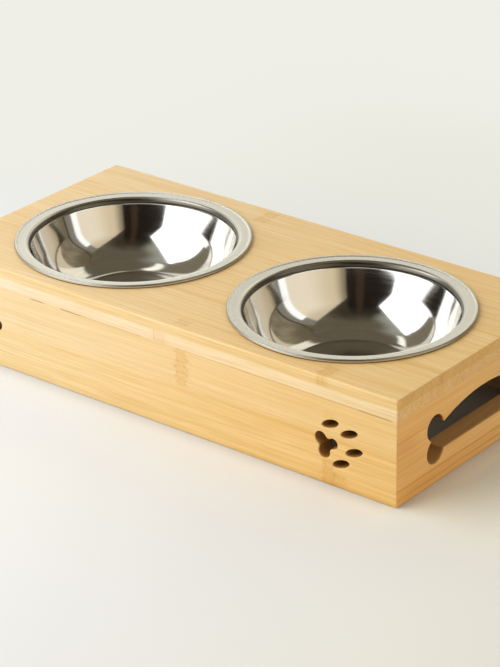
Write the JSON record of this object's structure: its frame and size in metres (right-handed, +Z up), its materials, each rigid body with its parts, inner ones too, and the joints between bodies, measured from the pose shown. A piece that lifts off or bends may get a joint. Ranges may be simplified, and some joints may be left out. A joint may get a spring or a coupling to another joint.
{
  "type": "pet bowl stand",
  "caption": "Raised bamboo box stand holding steel pet bowls by their rims, with paw cut-outs and bone-shaped handle slots; the bowls lift out.",
  "frame": {"origin": "on the table, under the middle of the stand", "axes": "+X along the stand to the right end, +Y to the back panel, +Z up"},
  "size_m": [0.4, 0.194, 0.0784],
  "materials": {
    "board_upper_bamboo": "satin lacquer",
    "board_lower_bamboo": "satin lacquer",
    "panel_bamboo": "satin lacquer",
    "joinery_wood": "bare",
    "bowl_steel": "polished inside, satin rim",
    "zinc_screws": "zinc plated"
  },
  "bodies": {
    "stand": {"top_board_upper_ply": "board_upper_bamboo", "top_board_lower_ply": "board_lower_bamboo", "front_panel": "panel_bamboo", "back_panel": "panel_bamboo", "left_panel": "panel_bamboo", "right_panel": "panel_bamboo", "board_dowels": "joinery_wood", "block_screws": "zinc_screws", "corner_block_front_left": "joinery_wood", "corner_spline_front_left": "joinery_wood", "corner_block_front_right": "joinery_wood", "corner_spline_front_right": "joinery_wood", "corner_block_back_right": "joinery_wood", "corner_spline_back_right": "joinery_wood", "corner_block_back_left": "joinery_wood", "corner_spline_back_left": "joinery_wood"},
    "left_bowl": {"left_bowl": "bowl_steel"},
    "right_bowl": {"right_bowl": "bowl_steel"}
  },
  "joints": [
    {"name": "left_bowl_lift", "type": "slide", "parent": "stand", "child": "left_bowl", "axis": [0, 0, 1], "range_m": [0, 0.08]},
    {"name": "right_bowl_lift", "type": "slide", "parent": "stand", "child": "right_bowl", "axis": [0, 0, 1], "range_m": [0, 0.08]}
  ]
}
